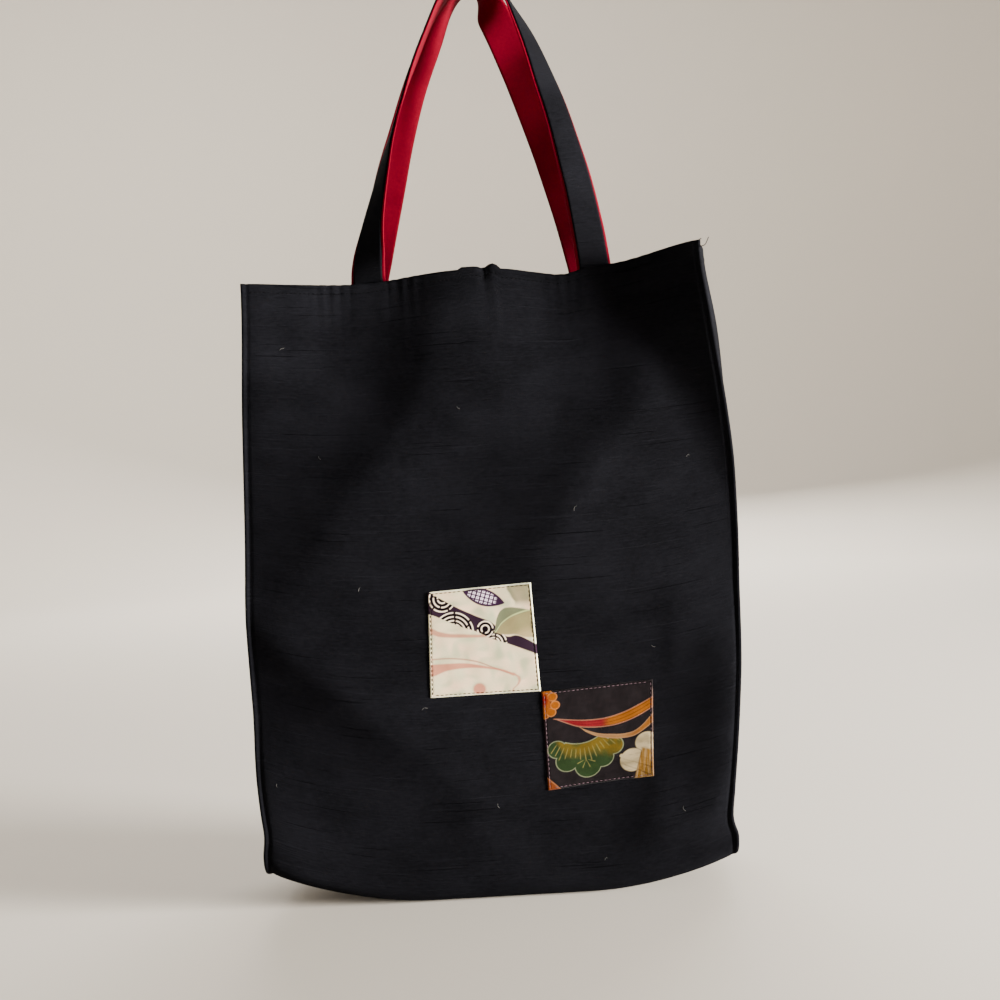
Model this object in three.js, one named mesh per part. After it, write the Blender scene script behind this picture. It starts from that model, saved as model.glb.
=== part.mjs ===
// A lined cloth tote bag with two looped handles and two sewn-on patches.
// Millimetres, +Z up. The bag stands on z = 0, its front faces -Y, and x = y = 0 is its middle.

import * as THREE from 'three';

// Bag: sizes of the sewn shell.
const WIDTH = 300;            // front panel, measured at the hem and along the bottom
const HEIGHT = 415;           // hem above the surface that the bag stands on
const DEPTH = 90;             // width of the side gussets
const MOUTH = 50;             // front hem to back hem where the handles draw the mouth together
const DRAW_REACH = 190;       // how far below the hem the mouth starts to draw in
const CORNER_WIDTH = 8;       // strip beside each side seam that keeps the full gusset depth
const SIDE_SWELL = 8;         // how far the side seams bow out at half height
const BELLY = 6;              // how far front and back bow out between the seams
const GUSSET_SWELL = 8;       // how far a gusset bows out between its seams
const GUSSET_SWELL_RISE = 160; // height over which that bow grows from the bottom fold
const SEAM_RIDGE = 3;         // pinched edge of the panels standing proud of the gussets
const BOTTOM_RADIUS = 14;     // soft fold where the panels turn under the bag
const FLAT_LENGTH = 100;      // flat middle stretch of the bottom
const CORNER_LIFT = 20;       // height of the bottom corners above that flat stretch

// Cloth: thickness of each layer and the air between two layers.
const CLOTH = 1.4;
const LINING = 0.8;
const GAP = 0.3;

// Handles: a black outer strip backed by a slightly wider red one.
const HANDLE_SPACING = 152;   // middle to middle of the two ends at the hem
const HANDLE_WIDTH = 20;      // black strip
const HANDLE_RISE = 213;      // top of the loop above the hem
const HANDLE_PLY = 0.8;
const RED_EDGE = 1.8;         // red showing past each edge of the black strip
const HANDLE_PAIR_GAP = 1.4;  // between the two handles where they lie side by side
const HANDLE_START = 0.5;     // free handle begins this far above the hem
const TAIL_LENGTH = 27;       // sewn-in handle end below the hem
const TAIL_FADE = 60;         // the lining settles against the panel over this length below a tail

// Shape of each leg of a loop. It leaves the hem leaning in by lean over rise, and comes to the top level
// over the length crown. The top lies shift to the right of the bag's middle. Between twistFrom and twistTo
// above the hem the leg turns its edge to the front: early with a twistLead of 1, and late with -1.
const FRONT_LEGS = {
  shift: 6,
  left: { lean: -1, rise: 40, crown: 36, twistFrom: HANDLE_START, twistTo: 150, twistLead: 1 },
  right: { lean: 9, rise: 92, crown: 26, twistFrom: HANDLE_START, twistTo: HANDLE_RISE, twistLead: -0.4 },
};
const BACK_LEGS = {
  shift: -1,
  left: { lean: 18, rise: 110, crown: 17, twistFrom: HANDLE_START, twistTo: HANDLE_RISE, twistLead: -0.2 },
  right: { lean: 5, rise: 48, crown: 18, twistFrom: 115, twistTo: HANDLE_RISE, twistLead: -1 },
};

// Patches: sewn on corner to corner, both turned a little.
const PATCH_THICKNESS = 0.7;
const PATCH_TURN = THREE.MathUtils.degToRad(1.2);
const PATCH_CORNER_GAP = 1;   // between the cream patch's lower right corner and the dark patch
const CREAM_PATCH = { width: 70, height: 70 };
const DARK_PATCH = { width: 70, height: 65 };
const PATCH_CORNER = { x: 23.5, z: 138 };  // where the two corners meet

// Facets: how finely the cloth is divided.
const MIDDLE_COLUMNS = 3;     // from the middle to the inner edge of a handle
const FADE_COLUMNS = 4;       // from the outer edge of a handle to the full depth beside the seam
const GUSSET_COLUMNS = 6;
const BASE_ROWS = 2;
const FOLD_ROWS = 4;
const WALL_ROWS = 12;
const LEG_ROWS = 26;
const LEG_CROWDING = 1.4;     // above 1, rows crowd towards the tight top of the loop
const TANGENT_STEP = 0.001;   // share of a leg over which its direction is measured
const PATCH_CELLS = 6;

const blackSilk = { color: 0x19191b, roughness: 0.85 };
const redCotton = { color: 0x8e0f20, roughness: 0.9 };
const creamSilk = { color: 0xd6c8b5, roughness: 0.8 };
const darkSilk = { color: 0x2a2423, roughness: 0.8 };

const { clamp, lerp, smoothstep } = THREE.MathUtils;
const redWidth = HANDLE_WIDTH + 2 * RED_EDGE;
const handleInner = HANDLE_SPACING / 2 - redWidth / 2 - GAP;
const handleOuter = HANDLE_SPACING / 2 + redWidth / 2 + GAP;
const cornerStart = WIDTH / 2 - CORNER_WIDTH;
const bag = new THREE.Group();

function addPiece(name, geometry, finish) {
  const mesh = new THREE.Mesh(geometry, new THREE.MeshStandardMaterial({ ...finish, metalness: 0 }));
  mesh.name = name;
  bag.add(mesh);
}

function signedVolume(points, faces) {
  let volume = 0;
  for (let k = 0; k < faces.length; k += 3) {
    const [a, b, c] = [points[faces[k]], points[faces[k + 1]], points[faces[k + 2]]];
    volume += a.dot(b.clone().cross(c)) / 6;
  }
  return volume;
}

// Closed sheet between two surfaces that share their rows and columns, with its faces pointing out.
function closedSheet(outer, inner, columns, rows) {
  const points = [];
  for (const surface of [outer, inner]) {
    for (let row = 0; row <= rows; row += 1) {
      for (let column = 0; column <= columns; column += 1) {
        points.push(surface(column, row));
      }
    }
  }
  const across = columns + 1;
  const layer = across * (rows + 1);
  const faces = [];
  const quad = (a, b, c, d) => faces.push(a, b, c, a, c, d);
  for (let row = 0; row < rows; row += 1) {
    for (let column = 0; column < columns; column += 1) {
      const k = row * across + column;
      quad(k, k + 1, k + across + 1, k + across);
      quad(layer + k, layer + k + across, layer + k + across + 1, layer + k + 1);
    }
  }
  for (let column = 0; column < columns; column += 1) {
    const top = rows * across + column;
    quad(column, layer + column, layer + column + 1, column + 1);
    quad(top, top + 1, layer + top + 1, layer + top);
  }
  for (let row = 0; row < rows; row += 1) {
    const left = row * across;
    const right = left + columns;
    quad(left, left + across, layer + left + across, layer + left);
    quad(right, layer + right, layer + right + across, right + across);
  }
  if (signedVolume(points, faces) < 0) {
    faces.reverse();
  }
  const geometry = new THREE.BufferGeometry().setFromPoints(points);
  geometry.setIndex(faces);
  geometry.computeVertexNormals();
  return geometry;
}

function mirrored(surface, side) {
  return (column, row) => {
    const point = surface(column, row);
    return point.setY(point.y * side);
  };
}

// Height of the outer bottom at a distance from the bag's middle: flat, then rising to the corners.
function bottomHeight(x) {
  const past = (Math.abs(x) - FLAT_LENGTH / 2) / (WIDTH / 2 - FLAT_LENGTH / 2);
  return CORNER_LIFT * clamp(past, 0, 1) ** 2;
}

// Half width of a panel, with s running from 0 at the bottom fold to 1 at the hem.
function halfWidth(s) {
  return WIDTH / 2 + SIDE_SWELL * Math.sin(Math.PI * s);
}

function wallHeight(x) {
  return HEIGHT - BOTTOM_RADIUS - bottomHeight(x);
}

// Half depth of the bag's outside: it bows out at the belly and draws in between the handles.
function halfDepth(x, s) {
  const belly = BELLY * Math.sin(Math.PI * s) * (1 - (x / halfWidth(s)) ** 2);
  const sideways = 1 - smoothstep(Math.abs(x), handleOuter, cornerStart);
  const upwards = smoothstep((s - 1) * wallHeight(x), -DRAW_REACH, 0);
  return DEPTH / 2 + belly - (DEPTH - MOUTH) / 2 * sideways * upwards;
}

// Stations along a panel, from the seam under the bag round the fold and up to the hem.
const foldStations = [];
for (let k = 0; k <= FOLD_ROWS; k += 1) {
  foldStations.push({ turn: Math.PI / 2 * k / FOLD_ROWS, s: 0 });
}
const tailFoot = 1 - TAIL_LENGTH / (HEIGHT - BOTTOM_RADIUS);
const wallStations = [];
for (let k = 1; k <= WALL_ROWS; k += 1) {
  wallStations.push({ s: tailFoot * k / WALL_ROWS });
}
wallStations.push({ s: 1 });
const baseStations = [];
for (let k = 0; k < BASE_ROWS; k += 1) {
  baseStations.push({ base: k / BASE_ROWS, s: 0 });
}
const gussetStations = [...foldStations, ...wallStations];
const panelStations = [...baseStations, ...gussetStations];

// Point on the front half of the shell, a given inset inside its outer face.
function shellPoint(x, station, inset) {
  const floor = bottomHeight(x);
  const foldMiddle = DEPTH / 2 - BOTTOM_RADIUS;
  const radius = BOTTOM_RADIUS - inset;
  if (station.base !== undefined) {
    return new THREE.Vector3(x, -lerp(GAP / 2, foldMiddle, station.base), floor + inset);
  }
  if (station.turn !== undefined) {
    const y = -foldMiddle - radius * Math.sin(station.turn);
    return new THREE.Vector3(x, y, floor + BOTTOM_RADIUS - radius * Math.cos(station.turn));
  }
  const z = floor + BOTTOM_RADIUS + station.s * wallHeight(x);
  return new THREE.Vector3(x, inset - halfDepth(x, station.s), z);
}

// Layers between the panel's outer face and the lining.
const tailInset = CLOTH + GAP;
const redTailInset = tailInset + HANDLE_PLY + GAP;
const hemStack = redTailInset + HANDLE_PLY + GAP;

function liningInset(s) {
  const below = (1 - s) * (HEIGHT - BOTTOM_RADIUS);
  const settled = smoothstep(below, TAIL_LENGTH, TAIL_LENGTH + TAIL_FADE);
  return lerp(hemStack, CLOTH + GAP, settled);
}

// Columns that panels and linings share, from the middle out to where the corner strip starts.
const columnsFromMiddle = [];
for (let k = 0; k < MIDDLE_COLUMNS; k += 1) {
  columnsFromMiddle.push(handleInner * k / MIDDLE_COLUMNS);
}
columnsFromMiddle.push(handleInner);
for (let k = 0; k <= FADE_COLUMNS; k += 1) {
  columnsFromMiddle.push(lerp(handleOuter, cornerStart, k / FADE_COLUMNS));
}

function columnsAcross(edges) {
  const half = [...columnsFromMiddle, ...edges];
  const left = half.slice(1).reverse().map((x) => -x);
  return [...left, ...half];
}

// Front and back panels: each runs from the hem down, round the bottom fold and under the bag,
// and its sides stand proud of the gussets as pinched seams.
function panelColumns(s) {
  return columnsAcross([halfWidth(s) - SEAM_RIDGE, halfWidth(s)]);
}

function panelSurface(inset) {
  return (column, row) => {
    const station = panelStations[row];
    return shellPoint(panelColumns(station.s)[column], station, inset);
  };
}

// Lining of a panel: the same shape inside the gussets' cloth.
function liningColumns(s) {
  return columnsAcross([halfWidth(s) - SEAM_RIDGE - CLOTH - GAP]);
}

function liningSurface(thickness) {
  return (column, row) => {
    const station = panelStations[row];
    const x = liningColumns(station.s)[column];
    return shellPoint(x, station, liningInset(station.s) + thickness);
  };
}

for (const [name, side] of [['front', 1], ['back', -1]]) {
  const panel = closedSheet(
    mirrored(panelSurface(0), side), mirrored(panelSurface(CLOTH), side),
    panelColumns(0).length - 1, panelStations.length - 1,
  );
  addPiece(`${name}_panel`, panel, blackSilk);
  const lining = closedSheet(
    mirrored(liningSurface(0), side), mirrored(liningSurface(LINING), side),
    liningColumns(0).length - 1, panelStations.length - 1,
  );
  addPiece(`${name}_lining`, lining, redCotton);
}

// Gussets and their linings: upright strips between the panels with rounded lower corners.
function gussetSurface(side, sideInset, edgeInset) {
  return (column, row) => {
    const station = gussetStations[row];
    const seamX = halfWidth(station.s) - sideInset;
    const edge = shellPoint(seamX, station, edgeInset(station.s));
    const across = 2 * column / GUSSET_COLUMNS - 1;
    const grown = smoothstep(station.s * wallHeight(seamX), 0, GUSSET_SWELL_RISE);
    const swell = GUSSET_SWELL * grown * (1 - across ** 2);
    return new THREE.Vector3(side * (seamX + swell), across * edge.y, edge.z);
  };
}

for (const [name, side] of [['left', -1], ['right', 1]]) {
  const outerEdge = () => CLOTH + GAP;
  const gusset = closedSheet(
    gussetSurface(side, SEAM_RIDGE, outerEdge),
    gussetSurface(side, SEAM_RIDGE + CLOTH, outerEdge),
    GUSSET_COLUMNS, gussetStations.length - 1,
  );
  addPiece(`${name}_gusset`, gusset, blackSilk);
  const liningEdge = (s) => liningInset(s) + LINING + GAP;
  const liningSide = SEAM_RIDGE + CLOTH + GAP;
  const lining = closedSheet(
    gussetSurface(side, liningSide, liningEdge),
    gussetSurface(side, liningSide + LINING, liningEdge),
    GUSSET_COLUMNS, gussetStations.length - 1,
  );
  addPiece(`${name}_gusset_lining`, lining, redCotton);
}

// Sewn-in handle ends, held between panel and lining below the hem.
function tailSurface(middle, width, inset) {
  return (column, row) => {
    const x = middle + (column - 0.5) * width;
    return shellPoint(x, { s: lerp(tailFoot, 1, row) }, inset);
  };
}

// Middle line of a leg in the plane of the loop: out of the hem, then over to the top.
function legPoint(leg, side, shift, t) {
  const foot = new THREE.Vector2(side * HANDLE_SPACING / 2, HANDLE_START);
  const leaving = new THREE.Vector2(foot.x - side * leg.lean, leg.rise);
  const arriving = new THREE.Vector2(shift + side * leg.crown, HANDLE_RISE);
  const top = new THREE.Vector2(shift, HANDLE_RISE);
  return new THREE.CubicBezierCurve(foot, leaving, arriving, top).getPoint(t);
}

// Frame of a front handle at a row: where its middle is, its width direction and its outside.
function handleFrame(legs, row) {
  const onLeft = row <= LEG_ROWS;
  const leg = onLeft ? legs.left : legs.right;
  const side = onLeft ? -1 : 1;
  const fromFoot = onLeft ? row / LEG_ROWS : 2 - row / LEG_ROWS;
  const t = 1 - (1 - fromFoot) ** LEG_CROWDING;
  const yFoot = redTailInset - GAP / 2 - MOUTH / 2;
  const yTop = -(HANDLE_WIDTH / 2 + RED_EDGE + HANDLE_PAIR_GAP / 2);
  const place = (at) => {
    const flat = legPoint(leg, side, legs.shift, at);
    const y = lerp(yFoot, yTop, smoothstep(flat.y, HANDLE_START, HANDLE_RISE));
    return new THREE.Vector3(flat.x, y, HEIGHT + flat.y);
  };
  const middle = place(t);
  const start = place(Math.max(t - TANGENT_STEP, 0));
  const finish = place(Math.min(t + TANGENT_STEP, 1));
  const along = finish.sub(start).normalize().multiplyScalar(-side);
  const upright = new THREE.Vector3(0, 0, -side);
  along.lerp(upright, 1 - smoothstep(middle.z - HEIGHT, HANDLE_START, HANDLE_WIDTH)).normalize();
  const outward = new THREE.Vector3(-along.z, 0, along.x).normalize();
  const risen = clamp((middle.z - HEIGHT - leg.twistFrom) / (leg.twistTo - leg.twistFrom), 0, 1);
  const twist = Math.PI / 2 * (risen + leg.twistLead * risen * (1 - risen));
  const facing = new THREE.Vector3(0, -1, 0).multiplyScalar(Math.cos(twist));
  facing.addScaledVector(outward, Math.sin(twist));
  const across = along.clone().cross(facing).normalize();
  return { middle, across, facing: across.clone().cross(along).normalize() };
}

// A strip has one column at each of its edges. The red one also has one under each black edge, so
// that both strips twist in the same facets.
const blackEdges = [-HANDLE_WIDTH / 2, HANDLE_WIDTH / 2];
const redEdges = [-redWidth / 2, ...blackEdges, redWidth / 2];

function handleSurface(legs, edges, offset) {
  return (column, row) => {
    const frame = handleFrame(legs, row);
    const point = frame.middle.clone().addScaledVector(frame.across, edges[column]);
    return point.addScaledVector(frame.facing, offset);
  };
}

for (const [name, side, legs] of [['front', 1, FRONT_LEGS], ['back', -1, BACK_LEGS]]) {
  const strip = closedSheet(
    mirrored(handleSurface(legs, blackEdges, GAP / 2 + HANDLE_PLY), side),
    mirrored(handleSurface(legs, blackEdges, GAP / 2), side),
    blackEdges.length - 1, 2 * LEG_ROWS,
  );
  addPiece(`${name}_handle_outer`, strip, blackSilk);
  const redStrip = closedSheet(
    mirrored(handleSurface(legs, redEdges, -GAP / 2), side),
    mirrored(handleSurface(legs, redEdges, -GAP / 2 - HANDLE_PLY), side),
    redEdges.length - 1, 2 * LEG_ROWS,
  );
  addPiece(`${name}_handle_lining`, redStrip, redCotton);
  for (const [end, toward] of [['left', -1], ['right', 1]]) {
    const middle = toward * HANDLE_SPACING / 2;
    const tail = closedSheet(
      mirrored(tailSurface(middle, HANDLE_WIDTH, tailInset), side),
      mirrored(tailSurface(middle, HANDLE_WIDTH, tailInset + HANDLE_PLY), side),
      1, 1,
    );
    addPiece(`${name}_handle_${end}_end_outer`, tail, blackSilk);
    const redTail = closedSheet(
      mirrored(tailSurface(middle, redWidth, redTailInset), side),
      mirrored(tailSurface(middle, redWidth, redTailInset + HANDLE_PLY), side),
      1, 1,
    );
    addPiece(`${name}_handle_${end}_end_lining`, redTail, redCotton);
  }
}

// Patches: squares of patterned silk lying on the front panel, the cream one above and to the left
// of the corner where they meet, the dark one below and to its right.
function patchSurface(patch, side, inset) {
  return (column, row) => {
    const right = side * (PATCH_CORNER_GAP / 2 + patch.width * column / PATCH_CELLS);
    const up = -side * patch.height * row / PATCH_CELLS;
    const x = PATCH_CORNER.x + right * Math.cos(PATCH_TURN) - up * Math.sin(PATCH_TURN);
    const z = PATCH_CORNER.z + right * Math.sin(PATCH_TURN) + up * Math.cos(PATCH_TURN);
    const s = (z - bottomHeight(x) - BOTTOM_RADIUS) / wallHeight(x);
    return shellPoint(x, { s }, inset);
  };
}

for (const [name, patch, side, finish] of [
  ['cream_patch', CREAM_PATCH, -1, creamSilk],
  ['dark_patch', DARK_PATCH, 1, darkSilk],
]) {
  const square = closedSheet(
    patchSurface(patch, side, -GAP - PATCH_THICKNESS), patchSurface(patch, side, -GAP),
    PATCH_CELLS, PATCH_CELLS,
  );
  addPiece(name, square, finish);
}

export default bag;
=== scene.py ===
# A lined raw-silk tote bag with two looped handles and two patterned silk patches.
# Everything is in metres, in the frame of the construction model: +Z up, the front faces -Y.

import math

import bmesh
import bpy
import numpy as np
from mathutils import Matrix, Vector


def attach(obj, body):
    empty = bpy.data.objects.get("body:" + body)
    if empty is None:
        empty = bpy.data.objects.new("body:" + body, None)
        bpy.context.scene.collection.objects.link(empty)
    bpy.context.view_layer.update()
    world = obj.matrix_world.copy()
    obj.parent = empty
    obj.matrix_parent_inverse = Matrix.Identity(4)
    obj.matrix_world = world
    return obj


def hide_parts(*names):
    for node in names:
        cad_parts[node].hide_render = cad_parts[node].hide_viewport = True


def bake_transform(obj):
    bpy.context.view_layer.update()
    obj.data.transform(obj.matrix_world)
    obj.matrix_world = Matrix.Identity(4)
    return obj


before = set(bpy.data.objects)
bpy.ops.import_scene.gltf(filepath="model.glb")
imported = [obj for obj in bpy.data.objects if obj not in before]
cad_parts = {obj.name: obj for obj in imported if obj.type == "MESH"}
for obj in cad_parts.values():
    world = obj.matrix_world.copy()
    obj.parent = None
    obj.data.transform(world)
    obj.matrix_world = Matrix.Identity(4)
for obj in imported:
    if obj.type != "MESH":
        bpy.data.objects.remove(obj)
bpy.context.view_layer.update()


def new_object(name, data):
    made = bpy.data.objects.new(name, data)
    bpy.context.collection.objects.link(made)
    return made


# Camera
# Straight on to the front, a little above the middle of the bag, and rolled a little,
# because the bag hangs slightly askew in the photograph.

CAMERA_AIM = Vector((0.0039, -0.045, 0.263))
CAMERA_DISTANCE = 0.68
CAMERA_ROLL = math.radians(3.2)
FOCAL_PIXELS = 1040.0
FRAME_PIXELS = 1000.0
SENSOR_MM = 36.0

camera_data = bpy.data.cameras.new("camera")
camera_data.sensor_width = SENSOR_MM
camera_data.lens = SENSOR_MM * FOCAL_PIXELS / FRAME_PIXELS
camera_data.clip_start = 0.01
camera_data.clip_end = 60
camera = new_object("camera", camera_data)
camera.matrix_world = (
    Matrix.Translation(CAMERA_AIM - Vector((0, CAMERA_DISTANCE, 0)))
    @ Matrix.Rotation(math.radians(90), 4, "X")
    @ Matrix.Rotation(-CAMERA_ROLL, 4, "Z")
)
bpy.context.scene.camera = camera


# Floor and light
# A plain pale floor that curves up far away on all sides. The main soft light stands low at the
# right and a weak fill at the left; two large lights behind reach the bag's back and the backdrop.

FLOOR_FLAT = 3.0
FLOOR_CURVE = 2.0
FLOOR_CURVE_STEPS = 12
FLOOR_SIDES = 64
FLOOR_TOP = 7.0
FLOOR_COLOUR = (0.56, 0.515, 0.450, 1.0)
WARM_LIGHT = (1.0, 0.97, 0.93)
ROOM_COLOUR = (0.93, 0.95, 1.0, 1.0)
ROOM_STRENGTH = 0.18


def smooth_piece(name, bm, material):
    """Makes an object of a finished bmesh, shaded smooth."""
    mesh = bpy.data.meshes.new(name)
    bm.to_mesh(mesh)
    bm.free()
    mesh.shade_smooth()
    mesh.materials.append(material)
    return new_object(name, mesh)


def plain_material(name, colour, roughness):
    material = bpy.data.materials.new(name)
    material.use_nodes = True
    shader = material.node_tree.nodes["Principled BSDF"]
    shader.inputs["Base Color"].default_value = colour
    shader.inputs["Roughness"].default_value = roughness
    return material


def soft_light(name, place, aim, size, power, colour, spread=180):
    data = bpy.data.lights.new(name, "AREA")
    data.shape = "DISK"
    data.size = size
    data.energy = power
    data.spread = math.radians(spread)
    data.color = colour
    lamp = new_object(name, data)
    lamp.location = place
    lamp.rotation_euler = (Vector(aim) - Vector(place)).to_track_quat("-Z", "Y").to_euler()


bm = bmesh.new()
profile = [bm.verts.new((0, 0, 0)), bm.verts.new((FLOOR_FLAT, 0, 0))]
for step in range(1, FLOOR_CURVE_STEPS + 1):
    turn = math.radians(90) * step / FLOOR_CURVE_STEPS
    profile.append(bm.verts.new((
        FLOOR_FLAT + FLOOR_CURVE * math.sin(turn), 0, FLOOR_CURVE * (1 - math.cos(turn)),
    )))
profile.append(bm.verts.new((FLOOR_FLAT + FLOOR_CURVE, 0, FLOOR_TOP)))
edges = [bm.edges.new(pair) for pair in zip(profile, profile[1:])]
bmesh.ops.spin(
    bm, geom=profile + edges, cent=(0, 0, 0), axis=(0, 0, 1),
    angle=math.tau, steps=FLOOR_SIDES, use_merge=True,
)
bmesh.ops.remove_doubles(bm, verts=bm.verts, dist=0.0005)
bmesh.ops.recalc_face_normals(bm, faces=bm.faces)
floor = smooth_piece("floor", bm, plain_material("pale_floor", FLOOR_COLOUR, 0.9))

soft_light(
    "key_light", place=(2.38, -0.72, 0.36), aim=(0, 0, 0.26), size=0.7, power=182,
    colour=(1.0, 0.96, 0.9), spread=100,
)
soft_light(
    "fill_light", place=(-2.2, -1.6, 1.2), aim=(0, 0, 0.3), size=2.0, power=10,
    colour=(0.86, 0.92, 1.0),
)
soft_light(
    "rear_light", place=(0.5, 2.6, 2.1), aim=(0, 0, 0.3), size=4.0, power=220, colour=WARM_LIGHT,
)
soft_light(
    "wall_light", place=(-0.6, 1.8, 2.8), aim=(0, 5.0, 1.2), size=2.0, power=150, colour=WARM_LIGHT,
)
world = bpy.data.worlds.new("soft_room")
world.use_nodes = True
room = world.node_tree.nodes["Background"]
room.inputs["Color"].default_value = ROOM_COLOUR
room.inputs["Strength"].default_value = ROOM_STRENGTH
bpy.context.scene.world = world


# Front panel
# One length of black slubbed raw silk, sewn to the gussets along pinched side seams, hemmed at the
# top and carried under the bag to the middle of the base. The handles pull its hem back, so soft
# folds run down from them and out of the lower corners.

GUSSETS = ["left_gusset", "right_gusset"]
HEM = 0.415
CLOTH = 0.0012
DEPTH = 0.045
BELLY = 0.006
BELLY_HALF = 0.16
FOLD_RADIUS = 0.014
BASE_FLAT = 0.05
BASE_LIFT = 0.022
BASE_HALF = 0.15
BASE_SEAM = (-0.15675, 0.14875)
BASE_RUN = DEPTH - FOLD_RADIUS
WALL_RUN = HEM - FOLD_RADIUS
CURVE_RUN = FOLD_RADIUS * math.pi / 2
DRAW_REACH = 0.19
SEAM_RIDGE = 0.0034
SEAM_SWELL = 0.0013
SEAM_GROOVE = 0.0007
RIGHT_ROLL = 0.0045
HEM_GROOVE = 0.0005
HEM_STITCH_DROP = 0.006
HANDLE_FOOT = 0.076
PUCKER = 0.0007
PUCKER_PITCH = 0.0072
PUCKER_FADE = 0.016
TAIL_RELIEF = 0.0006
PLEAT = 0.0030
PLEAT_RISES = (0.0016, 0.0034)
FRONT_EARS = (0.0030, 0.0045)
EAR_SHARE = 0.028
CORNER_CREASE = ((0.081, 0.0), (0.153, -0.141))
CORNER_TILT = 0.58
CREASE_ROUND = 0.004
CREASE_POWER = 1.3
FOLD_STEPS = 28
PANEL_CELLS = (150, 230)
FRONT_HEM = (
    (-0.158, 0.0450), (-0.128, 0.0365), (-0.100, 0.0285), (-0.076, 0.0262), (-0.050, 0.0280),
    (-0.020, 0.0322), (0.020, 0.0322), (0.050, 0.0275), (0.076, 0.0258), (0.098, 0.0270),
    (0.142, 0.0280),
)
FRONT_FOLDS = (
    (((-0.026, 0.030), (-0.034, -0.040), (-0.048, -0.090), (-0.080, -0.130), (-0.120, -0.185),
      (-0.166, -0.245)), 0.0080, 0.033, 0.034),
    (((0.116, -0.015), (0.104, -0.080), (0.082, -0.112), (0.057, -0.142), (0.005, -0.225)),
     0.0088, 0.037, 0.032),
    (((-0.230, -0.155), (-0.156, -0.224), (-0.107, -0.267), (-0.073, -0.298), (-0.030, -0.336),
      (-0.016, -0.410)), 0.0088, 0.028, 0.036),
    (((0.152, -0.205), (0.147, -0.250), (0.143, -0.290), (0.134, -0.345), (0.108, -0.395)),
     0.0095, 0.033, 0.016),
    (((0.104, -0.318), (0.098, -0.350), (0.090, -0.395)), 0.0040, 0.020, 0.024),
    (((0.116, -0.205), (0.113, -0.250), (0.110, -0.290)), 0.0012, 0.007, 0.022),
    (((-0.160, -0.275), (-0.154, -0.340), (-0.148, -0.430)), 0.0080, 0.020, 0.060),
)


def smooth(value, low, high):
    share = np.clip((value - low) / (high - low), 0, 1)
    return share * share * (3 - 2 * share)


def between(value, start, full, fade, end):
    """Rises from 0 to 1 over start to full, and falls again over fade to end."""
    return smooth(value, start, full) * (1 - smooth(value, fade, end))


def bump(value, middle, width):
    return np.exp(-((value - middle) / width) ** 2)


def through(value, knots):
    """A soft curve through the knots, flat beyond both ends."""
    places, heights = (np.array(column, float) for column in zip(*knots))
    slopes = np.gradient(heights, places)
    slopes[[0, -1]] = 0
    value = np.clip(value, places[0], places[-1])
    cell = np.clip(np.searchsorted(places, value) - 1, 0, len(places) - 2)
    span = places[cell + 1] - places[cell]
    t = (value - places[cell]) / span
    return (
        heights[cell] * (1 + 2 * t) * (1 - t) ** 2
        + slopes[cell] * span * t * (1 - t) ** 2
        + heights[cell + 1] * t * t * (3 - 2 * t)
        + slopes[cell + 1] * span * t * t * (t - 1)
    )


def fold(x, z, path, height, left, right):
    """A ridge along a path of (x, z) points, with its own soft reach on either side of the path."""
    knots = np.array(path, float)
    share = np.linspace(0, 1, FOLD_STEPS)
    own = np.linspace(0, 1, len(knots))
    line_x = through(share, list(zip(own, knots[:, 0])))
    line_z = through(share, list(zip(own, knots[:, 1])))
    along_x, along_z = np.diff(line_x), np.diff(line_z)
    gap_x = x[:, None] - line_x[:-1]
    gap_z = z[:, None] - line_z[:-1]
    part = np.clip((gap_x * along_x + gap_z * along_z) / (along_x ** 2 + along_z ** 2), 0, 1)
    gap_x, gap_z = gap_x - part * along_x, gap_z - part * along_z
    rows, nearest = np.arange(len(x)), np.argmin(gap_x ** 2 + gap_z ** 2, axis=1)
    gap_x, gap_z = gap_x[rows, nearest], gap_z[rows, nearest]
    side = along_x[nearest] * gap_z - along_z[nearest] * gap_x
    reach = np.where(side > 0, right, left)
    steps = np.hypot(along_x, along_z)
    here = (np.cumsum(steps)[nearest] - steps[nearest] * (1 - part[rows, nearest])) / steps.sum()
    ends = between(here, 0, 0.35, 0.6, 1)
    away = np.sqrt(gap_x ** 2 + gap_z ** 2 + CREASE_ROUND ** 2) - CREASE_ROUND
    return height * ends * np.exp(-(away / reach) ** CREASE_POWER)


def base_height(x):
    share = np.clip((np.abs(x) - BASE_FLAT) / (BASE_HALF - BASE_FLAT), 0, 1.08)
    return BASE_LIFT * share ** 2


def drawn_wall(x, z, hem, folds):
    """How far a panel stands out from the middle of the bag, at a place on its wall.

    It bellies, its hem is drawn in, folds run over it, and at each handle's foot it puckers and
    shows the sewn-in end.
    """
    drop = z - HEM
    share = np.clip((z - FOLD_RADIUS) / WALL_RUN, 0, 1)
    plain = DEPTH + BELLY * np.sin(math.pi * share) * (1 - np.clip(x / BELLY_HALF, -1, 1) ** 2)
    depth = plain + (through(x, hem) - plain) * smooth(drop, -DRAW_REACH, 0)
    for path, height, left, right in folds:
        depth = depth + fold(x, drop, path, height, left, right)
    for foot in (-HANDLE_FOOT, HANDLE_FOOT):
        beside = np.abs(x - foot)
        near = between(beside, 0.010, 0.017, 0.026, 0.044)
        waves = np.sin(beside * math.tau / PUCKER_PITCH) * np.exp(drop / PUCKER_FADE)
        tail = (1 - smooth(beside, 0.0108, 0.0128)) * smooth(drop, -0.0285, -0.0262)
        depth = depth + PUCKER * near * waves + TAIL_RELIEF * tail
    return depth - HEM_GROOVE * bump(drop, -HEM_STITCH_DROP, 0.0010)


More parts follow.
